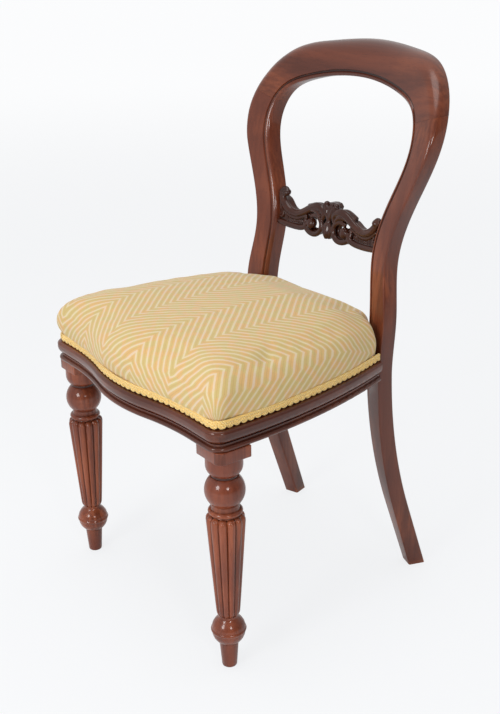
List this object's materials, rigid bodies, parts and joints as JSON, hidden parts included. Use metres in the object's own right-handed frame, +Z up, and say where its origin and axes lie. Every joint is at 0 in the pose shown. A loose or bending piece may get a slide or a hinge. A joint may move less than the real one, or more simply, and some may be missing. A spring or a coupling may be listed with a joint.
{
  "type": "dining chair",
  "caption": "Balloon back dining chair with a carved cross rail, turned and reeded front legs, sabre rear legs and a stuffed serpentine seat in herringbone cloth",
  "frame": {"origin": "on the floor under the middle of the chair's bounding box", "axes": "+Z up, the chair faces -Y, +X to the right when seen from the front (the sitter's left)"},
  "size_m": [0.499, 0.5406, 0.899],
  "materials": {
    "polished_mahogany": "french polished, red-brown",
    "herringbone_cloth": "woven herringbone in cream and gold",
    "gold_braid": "looped gimp braid",
    "stuffing": "felted fibre",
    "hessian": "plain sacking weave",
    "jute_webbing": "woven strap",
    "black_cambric": "thin matt cloth",
    "beech_blocks": "unpolished",
    "beech_dowels": "unpolished",
    "steel_screws": "plain",
    "blued_tacks": "blued"
  },
  "bodies": {
    "root": {"back_rail_dowel_left": "beech_dowels", "back_rail_dowel_right": "beech_dowels", "back_seat_rail": "polished_mahogany", "carved_back_rail": "polished_mahogany", "corner_block_front_left": "beech_blocks", "corner_block_front_right": "beech_blocks", "corner_block_rear_left": "beech_blocks", "corner_block_rear_right": "beech_blocks", "corner_block_screws_front_left": "steel_screws", "corner_block_screws_front_right": "steel_screws", "corner_block_screws_rear_left": "steel_screws", "corner_block_screws_rear_right": "steel_screws", "crest_dowels_left": "beech_dowels", "crest_dowels_right": "beech_dowels", "crest_rail": "polished_mahogany", "dust_cover": "black_cambric", "dust_cover_tacks": "blued_tacks", "front_leg_left": "polished_mahogany", "front_leg_right": "polished_mahogany", "front_seat_rail": "polished_mahogany", "hessian_deck": "hessian", "rear_post_left": "polished_mahogany", "rear_post_right": "polished_mahogany", "seat_cover": "herringbone_cloth", "seat_gimp_back": "gold_braid", "seat_gimp_front_and_sides": "gold_braid", "seat_stuffing": "stuffing", "side_rail_dowels_left": "beech_dowels", "side_rail_dowels_right": "beech_dowels", "side_seat_rail_left": "polished_mahogany", "side_seat_rail_right": "polished_mahogany", "webbing_cross_1": "jute_webbing", "webbing_cross_2": "jute_webbing", "webbing_cross_3": "jute_webbing", "webbing_long_1": "jute_webbing", "webbing_long_2": "jute_webbing", "webbing_long_3": "jute_webbing", "webbing_tacks_front": "blued_tacks", "webbing_tacks_left": "blued_tacks", "webbing_tacks_rear": "blued_tacks", "webbing_tacks_right": "blued_tacks"}
  },
  "joints": []
}
